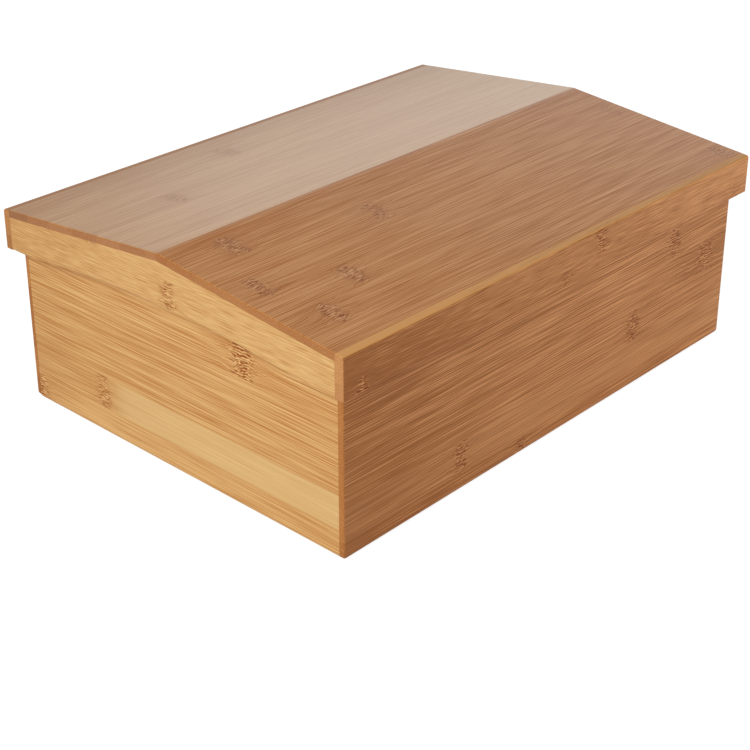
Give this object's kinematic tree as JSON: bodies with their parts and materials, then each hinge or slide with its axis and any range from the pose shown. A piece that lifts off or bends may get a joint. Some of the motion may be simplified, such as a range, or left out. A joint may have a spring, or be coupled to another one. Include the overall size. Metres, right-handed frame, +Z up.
{
  "type": "bread box with drawer",
  "caption": "Flat-pressed bamboo bread box with a lift-off low gable lid over a bread compartment and a shallow drawer beneath.",
  "frame": {"origin": "middle of the footprint, on the surface that the box stands on", "axes": "+X along the length, +Y out of the drawer's side, +Z up; the plain long side faces -Y"},
  "size_m": [0.4, 0.296, 0.1491],
  "materials": {
    "box_bamboo": "flat-pressed bamboo, satin lacquer",
    "lid_bamboo": "flat-pressed bamboo, satin to gloss lacquer",
    "drawer_bamboo": "flat-pressed bamboo, satin lacquer",
    "inner_bamboo": "bamboo, thin matt lacquer"
  },
  "bodies": {
    "box": {"front_board": "box_bamboo", "back_board": "box_bamboo", "left_end_board": "box_bamboo", "right_end_board": "box_bamboo", "bottom_board": "inner_bamboo", "shelf_board": "inner_bamboo", "left_runner": "inner_bamboo", "right_runner": "inner_bamboo"},
    "drawer": {"drawer_front": "drawer_bamboo", "drawer_left_side": "inner_bamboo", "drawer_right_side": "inner_bamboo", "drawer_back": "inner_bamboo", "drawer_bottom": "inner_bamboo"},
    "lid": {"lid_front_rail": "lid_bamboo", "lid_back_rail": "lid_bamboo", "lid_left_gable": "lid_bamboo", "lid_right_gable": "lid_bamboo", "roof_front_panel": "lid_bamboo", "roof_back_panel": "lid_bamboo", "ridge_batten": "inner_bamboo"}
  },
  "joints": [
    {"name": "drawer_slide", "type": "slide", "parent": "box", "child": "drawer", "axis": [0, 1, 0], "range_m": [0, 0.18]},
    {"name": "lid_lift", "type": "slide", "parent": "box", "child": "lid", "axis": [0, 0, 1], "range_m": [0, 0.1]}
  ]
}
